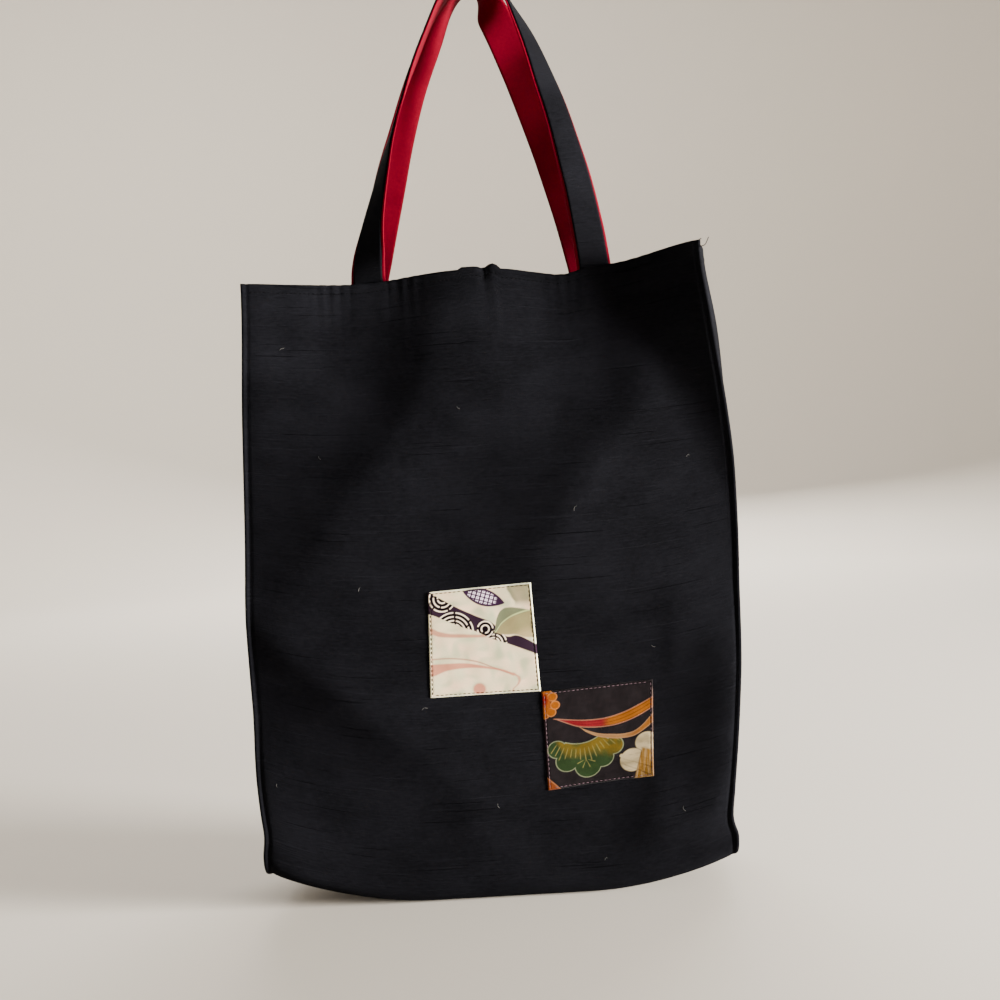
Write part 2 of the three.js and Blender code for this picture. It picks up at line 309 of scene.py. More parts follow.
def front_hem_wave(x):
    """The hem's own waves: down beside the handles, with a small double pleat in the middle."""
    wave = through(x, [
        (-0.158, -0.0016), (-0.110, -0.0020), (-0.076, -0.0020), (-0.040, 0.0012),
        (-0.015, 0.0024), (0.016, 0.0016), (0.036, -0.0012), (0.056, -0.0028),
        (0.070, 0.0008), (0.094, 0.0020), (0.142, 0.0078),
    ])
    left_fold = between(x, -0.0152, -0.0140, -0.0040, 0.0015)
    right_fold = between(x, -0.0020, 0.0080, 0.0098, 0.0112)
    return wave + PLEAT_RISES[0] * left_fold + PLEAT_RISES[1] * right_fold


def front_depth(x, z):
    """The front's wall, with its right corner turned out along a crease and its hem pleated."""
    drop = z - HEM
    (crease_x, crease_z), (crease_end_x, crease_end_z) = CORNER_CREASE
    run = math.hypot(crease_end_x - crease_x, crease_end_z - crease_z)
    normal_x = (crease_z - crease_end_z) / run
    normal_z = (crease_end_x - crease_x) / run
    beyond = (x - crease_x) * normal_x + (drop - crease_z) * normal_z
    softness = 0.0025 + 0.005 * smooth(-drop, 0.03, 0.14)
    corner = CORNER_TILT * softness * np.logaddexp(0, beyond / softness)
    pleat = PLEAT * bump(x, 0.0020, 0.0022) * np.exp(drop / 0.010)
    return drawn_wall(x, z, FRONT_HEM, FRONT_FOLDS) + corner - pleat


def front_edges(share):
    left = through(share, [
        (0.0, -0.1590), (0.08, -0.1622), (0.26, -0.1647), (0.55, -0.1635), (0.75, -0.1616),
        (1.0, -0.1578),
    ])
    right = through(share, [
        (0.0, 0.1430), (0.09, 0.1458), (0.21, 0.1510), (0.335, 0.1550), (0.55, 0.1582),
        (0.66, 0.1575), (0.74, 0.1548), (0.88, 0.1480), (1.0, 0.1418),
    ])
    ear = bump(share, 0.0, EAR_SHARE)
    return left - FRONT_EARS[0] * ear, right + FRONT_EARS[1] * ear


def panel_point(across, along, inset, edges, hem_wave, wall_depth):
    """A point of a panel's cloth, as a distance out from the middle of the bag."""
    girth = along * (BASE_RUN + CURVE_RUN + WALL_RUN)
    share = np.clip((girth - BASE_RUN - CURVE_RUN) / WALL_RUN, 0, 1)
    left, right = edges(share)
    under = np.clip(1 - girth / BASE_RUN, 0, 1)
    left, right = left + (BASE_SEAM[0] - left) * under, right + (BASE_SEAM[1] - right) * under
    x = left + (right - left) * (across + 1) / 2
    foot = base_height(x)
    z = foot + FOLD_RADIUS + share * (HEM - foot - FOLD_RADIUS)
    edge_gap = np.minimum(x - left, right - x)
    depth = wall_depth(x, z) + SEAM_SWELL * bump(edge_gap, 0.0012, 0.0014)
    depth = depth - SEAM_GROOVE * bump(edge_gap, SEAM_RIDGE, 0.0008)
    z = z + hem_wave(x) * smooth(share, 0.8, 1.0)
    turn = np.clip((girth - BASE_RUN) / CURVE_RUN, 0, 1) * math.pi / 2
    centre = depth - FOLD_RADIUS
    radius = FOLD_RADIUS - inset
    bent = centre + radius * np.where(share > 0, 1, np.sin(turn))
    out = np.where(girth < BASE_RUN, centre * girth / BASE_RUN, bent)
    z = np.where(share > 0, z, foot + FOLD_RADIUS - radius * np.cos(turn))
    return x, out, z, girth


def front_point(across, along, inset=0.0):
    x, out, z, girth = panel_point(across, along, inset, front_edges, front_hem_wave, front_depth)
    rolled = np.clip(1 - (1 - across) * BASE_HALF / RIGHT_ROLL, 0, 1) * smooth(z, 0.22, 0.34)
    return x, -out + 0.7 * RIGHT_ROLL * rolled ** 1.4, z, girth


def place_panel(point, cloth_start, cloth_way):
    """Lays out a panel with its rows and columns closer together towards the edges."""
    def place(across, along):
        across = across * 0.45 + 0.55 * np.sin(across * math.pi / 2)
        along = along * 0.7 + 0.3 * np.sin(along * math.pi / 2)
        x, y, z, girth = point(across, along)
        return x, y, z, cloth_start + cloth_way * x, girth
    return place


def cloth_sheet(name, cells, place, thickness, pattern=None):
    """A grid of cloth laid out by its place function, which gives x, y, z and two cloth lengths.

    A pattern gives the dye at shares of its width and of its length down from the top.
    """
    bm = bmesh.new()
    bmesh.ops.create_grid(bm, x_segments=cells[0], y_segments=cells[1], size=1.0)
    mesh = bpy.data.meshes.new(name)
    bm.to_mesh(mesh)
    bm.free()
    flat = np.empty(len(mesh.vertices) * 3)
    mesh.vertices.foreach_get("co", flat)
    across, along = flat[0::3].copy(), (flat[1::3].copy() + 1) / 2
    x, y, z, u, v = place(across, along)
    mesh.vertices.foreach_set("co", np.stack([x, y, z], axis=1).ravel())
    corner = np.empty(len(mesh.loops), int)
    mesh.loops.foreach_get("vertex_index", corner)
    layer = mesh.uv_layers.new(name="cloth")
    layer.data.foreach_set("uv", np.stack([u[corner], v[corner]], axis=1).ravel())
    if pattern:
        dyes = pattern((across + 1) / 2, 1 - along)
        colour = np.concatenate([dyes, np.ones((len(dyes), 1))], axis=1)
        layer = mesh.color_attributes.new("dye", "FLOAT_COLOR", "POINT")
        layer.data.foreach_set("color", colour.ravel())
    mesh.shade_smooth()
    mesh.update()
    made = new_object(name, mesh)
    if thickness:
        wall = made.modifiers.new("thickness", "SOLIDIFY")
        wall.thickness = thickness
        wall.offset = -1
        wall.use_even_offset = True
    return made


def fill(tree, node, values):
    """Sets a node's inputs: a socket is linked, anything else is a constant."""
    for key, value in values.items():
        if isinstance(value, bpy.types.NodeSocket):
            tree.links.new(value, node.inputs[key])
        else:
            node.inputs[key].default_value = value


def add_node(tree, kind, values, **settings):
    node = tree.nodes.new(kind)
    for key, value in settings.items():
        setattr(node, key, value)
    fill(tree, node, values)
    return node


def mixed(tree, share, start, end, blend_type="MIX"):
    """A colour between two others, by a share from 0 to 1."""
    values = {0: share, 6: start, 7: end}
    return add_node(
        tree, "ShaderNodeMix", values, data_type="RGBA", blend_type=blend_type,
    ).outputs[2]


def raised(tree, height, strength, distance):
    """The normal of a surface raised by a height."""
    values = {"Height": height, "Strength": strength, "Distance": distance}
    return add_node(tree, "ShaderNodeBump", values).outputs["Normal"]


def stretched_noise(tree, place, scale, detail):
    """Noise drawn out along the weft: scale is marks to the metre, along and across the cloth."""
    spread = add_node(tree, "ShaderNodeMapping", {"Vector": place, "Scale": (*scale, 1.0)})
    return add_node(tree, "ShaderNodeTexNoise", {
        "Vector": spread.outputs["Vector"], "Scale": 1.0, "Detail": detail, "Roughness": 0.6,
    }).outputs["Fac"]


def ramp(tree, value, low, high, to_low=0.0, to_high=1.0):
    return add_node(tree, "ShaderNodeMapRange", {
        "Value": value, "From Min": low, "From Max": high, "To Min": to_low, "To Max": to_high,
    }, interpolation_type="SMOOTHSTEP").outputs["Result"]


def weighted_sum(tree, *terms):
    """Adds sockets, each times its own weight."""
    total = 0.0
    for socket, weight in terms:
        values = {0: socket, 1: weight, 2: total}
        total = add_node(tree, "ShaderNodeMath", values, operation="MULTIPLY_ADD").outputs["Value"]
    return total


def threads(tree, place, direction, pitch):
    """Rounded threads side by side, at a pitch in metres."""
    return add_node(tree, "ShaderNodeTexWave", {
        "Vector": place, "Scale": math.tau / 20 / pitch, "Distortion": 1.4, "Detail": 1.0,
        "Detail Scale": 0.25,
    }, wave_type="BANDS", bands_direction=direction).outputs["Fac"]


def weave_group(name, warp_pitch, weft_pitch, streak, streak_weight):
    """Plain weave with slubs in its weft: puts out a tint, a gloss change and a relief."""
    tree = bpy.data.node_groups.new(name, "ShaderNodeTree")
    tree.interface.new_socket("Cloth Place", in_out="INPUT", socket_type="NodeSocketVector")
    for output in ("Tint", "Gloss", "Relief"):
        tree.interface.new_socket(output, in_out="OUTPUT", socket_type="NodeSocketFloat")
    place = tree.nodes.new("NodeGroupInput").outputs["Cloth Place"]

    def marks(longer, wider, detail, low, high):
        scale = (streak[0] * longer, streak[1] * wider)
        return ramp(tree, stretched_noise(tree, place, scale, detail), low, high)

    streaks = marks(1.0, 1.0, 3.0, 0.46, 0.76)
    fine = marks(9.0, 0.95, 2.0, 0.12, 0.88)
    slubs = marks(0.6, 0.55, 1.0, 0.62, 0.76)
    gaps = marks(0.5, 0.9, 1.0, 0.66, 0.76)
    cloud = ramp(tree, stretched_noise(tree, place, (16.0, 22.0), 4.0), 0.30, 0.70)
    warp = threads(tree, place, "X", warp_pitch)
    weft = threads(tree, place, "Y", weft_pitch)
    add_node(tree, "NodeGroupOutput", {
        "Tint": weighted_sum(
            tree, (streaks, 0.16 * streak_weight), (slubs, 0.26 * streak_weight),
            (gaps, -0.64 * streak_weight), (fine, 0.60), (cloud, 0.50), (weft, 0.08),
        ),
        "Gloss": weighted_sum(tree, (fine, 0.30), (slubs, -0.14), (cloud, 0.14)),
        "Relief": weighted_sum(
            tree, (warp, 0.22), (weft, 0.36), (streaks, 0.22 * streak_weight),
            (slubs, 0.45 * streak_weight), (gaps, -0.50 * streak_weight), (fine, 0.22),
        ),
    })
    return tree


def cloth_material(name, group, dark, light, roughness, sheen, sheen_tint, bump_size, dyed=False):
    """A woven cloth: its tint runs from the dark to the light colour, times its dye if dyed."""
    material = plain_material(name, light, roughness)
    tree = material.node_tree
    place = add_node(tree, "ShaderNodeUVMap", {}, uv_map="cloth").outputs["UV"]
    weave = add_node(tree, "ShaderNodeGroup", {}, node_tree=group)
    fill(tree, weave, {"Cloth Place": place})
    colour = mixed(tree, weave.outputs["Tint"], dark, light)
    if dyed:
        layer = add_node(tree, "ShaderNodeVertexColor", {}, layer_name="dye").outputs["Color"]
        colour = mixed(tree, 1.0, layer, colour, "MULTIPLY")
    fill(tree, tree.nodes["Principled BSDF"], {
        "Base Color": colour,
        "Roughness": ramp(
            tree, weave.outputs["Gloss"], 0.0, 0.5, roughness - 0.1, roughness + 0.12,
        ),
        "Normal": raised(tree, weave.outputs["Relief"], 0.8, bump_size),
        "Sheen Weight": sheen, "Sheen Roughness": 0.45, "Sheen Tint": sheen_tint,
        "Specular IOR Level": 0.008,
    })
    return material


def dress(cloth, node, material):
    """Gives a cloth of the bag itself its material, attaches it to the bag and hides the model part
    it replaces.
    """
    cloth.data.materials.append(material)
    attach(cloth, "bag")
    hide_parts(node)


raw_silk_weave = weave_group(
    "raw_silk_weave", warp_pitch=0.00052, weft_pitch=0.00062, streak=(26.0, 820.0),
    streak_weight=1.0,
)
black_silk = cloth_material(
    "black_raw_silk", raw_silk_weave, dark=(0.0014, 0.0014, 0.0018, 1.0),
    light=(0.0057, 0.0058, 0.0075, 1.0), roughness=0.82, sheen=0.0015,
    sheen_tint=(0.72, 0.78, 1.0, 1.0), bump_size=0.0005,
)

front_panel = cloth_sheet("front_panel_cloth", PANEL_CELLS, place_panel(front_point, 0, 1), CLOTH)
dress(front_panel, "front_panel", black_silk)


# Back panel
# The same raw silk behind, sewn and hemmed in the same way, with the second handle in its hem.
# It meets the front panel in a seam under the middle of the base.

BACK_EDGE = 0.151
BACK_BOW = 0.0065
BACK_EAR = 0.0035
BACK_CLOTH_START = 0.4
BACK_HEM = (
    (-0.150, 0.0440), (-0.105, 0.0290), (-0.076, 0.0258), (-0.040, 0.0280), (0.0, 0.0310),
    (0.040, 0.0280), (0.076, 0.0258), (0.105, 0.0290), (0.150, 0.0440),
)
BACK_FOLDS = (
    (((-0.080, -0.005), (-0.070, -0.090), (-0.030, -0.190)), 0.0050, 0.030, 0.020),
    (((0.078, -0.005), (0.088, -0.100), (0.060, -0.200)), 0.0050, 0.020, 0.034),
    (((-0.150, -0.230), (-0.100, -0.300), (-0.050, -0.385)), 0.0060, 0.036, 0.020),
    (((0.150, -0.250), (0.100, -0.310), (0.030, -0.370)), 0.0060, 0.020, 0.036),
    (((0.0, -0.010), (-0.006, -0.080), (0.010, -0.150)), -0.0035, 0.030, 0.030),
    (((-0.118, -0.120), (-0.112, -0.190), (-0.122, -0.250)), 0.0035, 0.026, 0.020),
)


def back_depth(x, z):
    return drawn_wall(x, z, BACK_HEM, BACK_FOLDS)


def back_edges(share):
    edge = BACK_EDGE + BACK_BOW * np.sin(math.pi * share) + BACK_EAR * bump(share, 0.0, EAR_SHARE)
    return -edge, edge


def back_hem_wave(x):
    return 0.0012 * np.cos(x * math.pi / HANDLE_FOOT) - 0.0008


def back_point(across, along, inset=0.0):
    return panel_point(-across, along, inset, back_edges, back_hem_wave, back_depth)


back_panel = cloth_sheet(
    "back_panel_cloth", PANEL_CELLS, place_panel(back_point, BACK_CLOTH_START, -1), CLOTH,
)
dress(back_panel, "back_panel", black_silk)


# Gussets
# Two side strips of the raw silk between the panels, sewn in just behind the pinched seams.
# They bow outwards where the drawn-in mouth leaves them slack, and end at the base.

GUSSET_BOW = {-1: 0.0060, 1: 0.0085}
GUSSET_LEAST_BOW = 0.001
GUSSET_RIPPLES = (0.0016, 0.0012)
GUSSET_RISE = (0.10, 0.36)
GUSSET_SEAM = 0.978
GUSSET_BEHIND = 0.0004
GUSSET_CELLS = (44, 170)


def gusset_point(side, across, along, inset):
    """A point of a gusset. across runs from -1 at the front seam to 1 at the back seam."""
    length = BASE_RUN + CURVE_RUN + WALL_RUN
    low = BASE_RUN / length
    reach = low + along * (1 - low)
    seam = np.full_like(across, side) * GUSSET_SEAM
    front = front_point(seam, reach, inset + GUSSET_BEHIND)[:3]
    back = back_point(-seam, reach, inset + GUSSET_BEHIND)[:3]
    share = (across + 1) / 2
    x, y, z = (start + (end - start) * share for start, end in zip(front, back))
    slack = smooth(z, *GUSSET_RISE)
    middle = 1 - across ** 2
    bow = (GUSSET_BOW[side] * slack + GUSSET_LEAST_BOW) * middle * (1 - 0.25 * across)
    ripple = GUSSET_RIPPLES[0] * slack * np.sin(across * 4.1 + side + z * 9) * middle
    ripple = ripple + GUSSET_RIPPLES[1] * np.sin(z * 55 + across * 2.2 + side) * middle
    return x + side * (bow + ripple - inset), y, z, y, reach * length


def place_gusset(side, width, height, inset):
    """Lays out a share of a gusset's width and height, set in from its outside."""
    def place(across, along):
        return gusset_point(side, across * side * width, along * height, inset)
    return place


for side, name in zip((-1, 1), GUSSETS):
    gusset = cloth_sheet(name + "_cloth", GUSSET_CELLS, place_gusset(side, 1, 1, 0.0), CLOTH)
    dress(gusset, name, black_silk)


# Linings
# A plain-woven red cotton bag inside the silk one, of two panels and two gussets.
# Each is sewn to its silk along the hem and hangs just inside it.

LINING = 0.0006
LINING_INSET = 0.0016
LINING_SLACK = 0.0010
LINING_ROUND_ENDS = 0.0034
LINING_WIDTH = 0.974
LINING_HEIGHT = 0.998
LINING_CELLS = (110, 150)
GUSSET_LINING_WIDTH = 0.97
GUSSET_LINING_INSET = 0.0024
GUSSET_LINING_CELLS = (36, 120)


def lining_inset(x, z):
    """Close behind the silk, but round the inside of the sewn-in handle ends."""
    drop = HEM - z
    inset = LINING_INSET + LINING_SLACK * smooth(drop, 0.0, 0.010)
    for foot in (-HANDLE_FOOT, HANDLE_FOOT):
        beside = 1 - smooth(np.abs(x - foot), 0.0128, 0.0200)
        inset = inset + LINING_ROUND_ENDS * beside * (1 - smooth(drop, 0.027, 0.060))
    return inset


def place_lining(point):
    def place(across, along):
        across, along = across * LINING_WIDTH, along * LINING_HEIGHT
        x, _, z, _ = point(across, along)
        x, y, z, girth = point(across, along, lining_inset(x, z))
        return x, y, z, x, girth
    return place


cotton_weave = weave_group(
    "plain_cotton_weave", warp_pitch=0.00042, weft_pitch=0.00042, streak=(60.0, 500.0),
    streak_weight=0.35,
)
red_cotton = cloth_material(
    "red_cotton", cotton_weave, dark=(0.070, 0.0004, 0.0050, 1.0),
    light=(0.120, 0.0010, 0.0090, 1.0), roughness=0.78, sheen=0.01,
    sheen_tint=(1.0, 0.7, 0.7, 1.0), bump_size=0.00035,
)

for name, point in (("front_lining", front_point), ("back_lining", back_point)):
    lining = cloth_sheet(name + "_cloth", LINING_CELLS, place_lining(point), LINING)
    dress(lining, name, red_cotton)

for side, name in ((-1, "left_gusset_lining"), (1, "right_gusset_lining")):
    place = place_gusset(side, GUSSET_LINING_WIDTH, LINING_HEIGHT, GUSSET_LINING_INSET)
    lining = cloth_sheet(name + "_cloth", GUSSET_LINING_CELLS, place, LINING)
    dress(lining, name, red_cotton)


# Handles
# Each handle is one loop of two strips sewn back to back, black silk outside and a wider red cotton
# inside, its ends caught in the hem between silk and lining. The legs turn a quarter as they rise,
# so that the top lies flat to the hand: turns give the degrees at heights above the hem.

HANDLE_WIDTH = 0.020
HANDLE_RISE = 0.213
HANDLE_START = 0.0005
HANDLE_Y_FOOT = -0.02235
HANDLE_Y_TOP = -0.0125
HANDLE_TAIL = 0.026
TAIL_ROWS = 14
LEG_ROWS = 160
RED_EDGE = 0.0018
STRIP = 0.0009
STRIP_CROWN = 0.0003
STRIP_RIPPLE = 0.0002
STRIP_CELLS = (14, 260)
BLACK_OFFSET = 0.00105
RED_OFFSET = -0.0001
UPRIGHT = np.array([0.0, 0.0, 1.0])
FORWARD = np.array([0.0, -1.0, 0.0])
HANDLE_LEGS = {
    "front": {
        "left": {
            "foot": 0.0765, "lean": -0.001, "rise": 0.040, "top": 0.006, "crown": 0.032,
            "turns": ((0.0, 8), (0.014, 18), (0.029, 38), (0.056, 57), (0.083, 70), (0.110, 78),
                      (0.150, 82), (0.185, 85), (0.213, 90)),
        },
        "right": {
            "foot": 0.076, "lean": 0.0076, "rise": 0.0925, "top": 0.006, "crown": 0.0235,
            "turns": ((0.0, 8), (0.045, 18), (0.072, 26), (0.106, 36), (0.136, 45), (0.163, 58),
                      (0.189, 74), (0.213, 90)),
        },
    },
    "back": {
        "left": {
            "foot": 0.0810, "lean": 0.023, "rise": 0.110, "top": 0.003, "crown": 0.021,
            "turns": ((0.0, 0), (0.079, 30), (0.121, 52), (0.153, 58), (0.180, 64), (0.213, 90)),
        },
        "right": {
            "foot": 0.0752, "lean": 0.0055, "rise": 0.048, "top": 0.003, "crown": 0.0155,
            "turns": ((0.0, 6), (0.030, 16), (0.090, 22), (0.150, 16), (0.190, 16), (0.213, 90)),
        },
    },
}


def unit(rows):
    return rows / np.linalg.norm(rows, axis=1)[:, None]


def lengths_along(points):
    gaps = np.linalg.norm(np.diff(points, axis=0), axis=1)
    return np.concatenate([[0], np.cumsum(gaps)])


def rows_at(at, lengths, rows):
    """The rows of a line's table at some lengths along the line."""
    return np.stack([np.interp(at, lengths, rows[:, axis]) for axis in range(3)], axis=1)


def leg_path(side, leg):
    """The middle line of one leg, its outward facing and its way along, from the hem to the top."""
    t = np.linspace(0, 1, LEG_ROWS)[:, None]
    foot = np.array([side * leg["foot"], HANDLE_START])
    rising = np.array([side * (leg["foot"] - leg["lean"]), leg["rise"]])
    crown = np.array([leg["top"] + side * leg["crown"], HANDLE_RISE])
    top = np.array([leg["top"], HANDLE_RISE])
    path = (
        foot * (1 - t) ** 3 + rising * 3 * t * (1 - t) ** 2
        + crown * 3 * t * t * (1 - t) + top * t ** 3
    )
    x, rise = path[:, 0], path[:, 1]
    y = HANDLE_Y_FOOT + (HANDLE_Y_TOP - HANDLE_Y_FOOT) * smooth(rise, HANDLE_START, HANDLE_RISE)
    way = unit(np.stack([np.gradient(x), np.gradient(y), np.gradient(rise)], axis=1))
    outward = unit(np.stack([side * way[:, 2], np.zeros(LEG_ROWS), -side * way[:, 0]], axis=1))
    turn = np.radians(through(rise, leg["turns"]))[:, None]
    return np.stack([x, y, rise], axis=1), np.cos(turn) * FORWARD + np.sin(turn) * outward, way


def tail_points(start):
    """The sewn-in end below a leg's start, from its lower edge up."""
    points = np.tile(start, (TAIL_ROWS, 1))
    points[:, 2] = np.linspace(-HANDLE_TAIL, -0.001, TAIL_ROWS)
    return points


def handle_path(legs):
    """The whole loop from tail to tail: points, facings, ways along and lengths so far."""
    left, left_facing, left_way = leg_path(-1, legs["left"])
    right, right_facing, right_way = leg_path(1, legs["right"])
    forward = np.tile(FORWARD, (TAIL_ROWS, 1))
    upright = np.tile(UPRIGHT, (TAIL_ROWS, 1))
    points = np.concatenate([
        tail_points(left[0]), left, right[-2::-1], tail_points(right[0])[::-1],
    ])
    facings = np.concatenate([forward, left_facing, right_facing[-2::-1], forward])
    ways = np.concatenate([upright, left_way, -right_way[-2::-1], -upright])
    return points, facings, ways, lengths_along(points)


def place_strip(path, half_width, offset, crown, mirrored):
    """Lays a strip along a handle's path, standing off it by offset on the side that it faces."""
    points, facings, ways, lengths = path

    def place(across, along):
        at = along * lengths[-1]
        point, facing, way = (rows_at(at, lengths, rows) for rows in (points, facings, ways))
        beside = unit(np.cross(facing, way))
        flat = unit(beside * (1, 1, 0))
        level = (1 - smooth(point[:, 2], 0.5 * HANDLE_WIDTH, 1.5 * HANDLE_WIDTH))[:, None]
        beside = unit(flat * level + beside * (1 - level))
        facing = unit(np.cross(way, beside))
        loose = smooth(point[:, 2], 0.004, 0.040)
        ripple = STRIP_RIPPLE * loose * np.sin(at * 120 + across * 0.8)
        out = offset + crown * (1 - across ** 2) + ripple
        spot = point + beside * (across * half_width)[:, None] + facing * out[:, None]
        y = -spot[:, 1] if mirrored else spot[:, 1]
        return spot[:, 0], y, spot[:, 2] + HEM, across * half_width, at

    return place


def face_outwards(piece):
    """Turns a mirrored cloth's faces back to its right side."""
    bm = bmesh.new()
    bm.from_mesh(piece.data)
    bmesh.ops.reverse_faces(bm, faces=bm.faces)
    bm.to_mesh(piece.data)
    bm.free()


def bend_at_hem(piece):
    """Bakes a piece's placement into its mesh."""
    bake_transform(piece)


handle_paths = {which: handle_path(legs) for which, legs in HANDLE_LEGS.items()}
for which, path in handle_paths.items():
    mirrored = which == "back"
    for layer, cloth, slot, half, offset, crown in (
        ("outer", black_silk, "black_silk", HANDLE_WIDTH / 2, BLACK_OFFSET, STRIP_CROWN),
        ("lining", red_cotton, "red_cotton", HANDLE_WIDTH / 2 + RED_EDGE, RED_OFFSET, 0.0),
    ):
        name = f"{which}_handle_{layer}"
        place = place_strip(path, half, offset, crown, mirrored)
        strip = cloth_sheet(name + "_cloth", STRIP_CELLS, place, STRIP)
        if mirrored:
            face_outwards(strip)
        strip.data.materials.append(cloth)
        bend_at_hem(strip)
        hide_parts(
            name, f"{which}_handle_left_end_{layer}", f"{which}_handle_right_end_{layer}",
        )


# Patches
# Two squares of old kimono silk with traditional motifs, sewn on corner to corner with their edges
# turned under. The cream one has a dark band with broken rings, leaves and flowing lines, and the
# charcoal one two ribbons, a pine sprig, a plum blossom and a half flower.

PATCH_CELLS = (230, 230)
PATCH_LIFT = 0.0009
PATCH_EDGE = 0.0011
PATCH_RELIEF = 0.00035
PATCH_WAVES = 0.00018
PATCH_STITCH_INSET = 0.0014
STAGE_LIGHT = 2.6
DARK_DEPTH = 0.76
CREAM_SIZE = (0.070, 0.070)
CREAM_CORNERS = ((-0.0462, -0.2091), (0.0207, -0.2062), (0.0234, -0.2772), (-0.0480, -0.2771))
DARK_SIZE = (0.070, 0.065)
DARK_CORNERS = ((0.0239, -0.2777), (0.0963, -0.2735), (0.0934, -0.3359), (0.0247, -0.3424))


def place_patch(corners, size):
    """Lays a patch on the front between its four corners, clockwise from the upper left."""
    (ax, az), (bx, bz), (cx, cz), (dx, dz) = corners

    def place(across, along):
        u, v = (across + 1) / 2, 1 - along
        x = (ax * (1 - u) + bx * u) * (1 - v) + (dx * (1 - u) + cx * u) * v
        z = (az * (1 - u) + bz * u) * (1 - v) + (dz * (1 - u) + cz * u) * v + HEM
        rim = np.minimum(np.minimum(u, 1 - u) * size[0], np.minimum(v, 1 - v) * size[1])
        lift = PATCH_LIFT * np.sqrt(np.clip(rim / PATCH_EDGE, 0.02, 1))
        lift = lift + PATCH_RELIEF * bump(rim, 0.0009, 0.0006)
        lift = lift - PATCH_RELIEF * bump(rim, PATCH_STITCH_INSET, 0.0005)
        lift = lift + PATCH_WAVES * np.sin(u * 21 + v * 9) * np.sin(v * 17 - u * 5)
        return x, -front_depth(x, z) - lift, z, u * size[0], -v * size[1]

    return place


def dye(colour):
    """A dye that reads as this colour, 0 to 255, under the stage's light; a painted cloth stays."""
    if not isinstance(colour, tuple):
        return colour
    share = np.array(colour) / 255
    seen = np.where(share <= 0.04045, share / 12.92, ((share + 0.055) / 1.055) ** 2.4)
    bright = seen * (1 + 8.15 * (0.6 * seen + 0.4 * seen.mean()) ** 4)
    return np.clip(bright / STAGE_LIGHT, 0.0, 0.85)


def painted(cloth, *layers):
    """A cloth or plain colour painted over in turn, each layer a colour or cloth and its mask."""
    cloth = dye(cloth)
    for colour, mask in layers:
        mask = np.clip(mask, 0, 1)[:, None]
        cloth = cloth * (1 - mask) + dye(colour) * mask
    return cloth


def inside(distance, blur=0.006):
    """1 where a signed distance is negative, fading over the blur."""
    return np.clip(0.5 - distance / blur, 0, 1)


def disc(u, v, centre, radius):
    return np.hypot(u - centre[0], v - centre[1]) - radius


def strip_between(u, v, upper, lower):
    """Signed distance into the strip between two curves of v over u."""
    return np.maximum(through(u, upper) - v, v - through(u, lower))


def rings(u, v, centre, radii, width, breaks, turn):
    """Concentric rings, each broken into dashes."""
    gap = disc(u, v, centre, 0.0)
    angle = np.arctan2(v - centre[1], u - centre[0])
    mask = np.zeros_like(u)
    for k, radius in enumerate(radii):
        dash = smooth(np.cos(angle * (breaks + k) + turn + 1.7 * k), -0.97, -0.86)
        mask = np.maximum(mask, inside(np.abs(gap - radius) - width) * dash)
    return mask


def leaf(u, v, tip, tail, belly):
    """Signed distance of a pointed leaf between two points."""
    axis = np.array(tail) - np.array(tip)
    length = math.hypot(*axis)
    along = ((u - tip[0]) * axis[0] + (v - tip[1]) * axis[1]) / length ** 2
    across = ((u - tip[0]) * -axis[1] + (v - tip[1]) * axis[0]) / length
    reach = belly * np.sin(math.pi * np.clip(along, 0, 1)) ** 0.8
    return np.abs(across) - np.where((along > 0) & (along < 1), reach, -0.02), along, across


def mottle(u, v):
    return (
        np.sin(u * 23 + 4 * np.sin(v * 13)) + np.sin(v * 31 + 3 * np.sin(u * 19 + 1))
        + np.sin((u + v) * 47 + 2 * np.sin((u - v) * 29))
    ) / 3


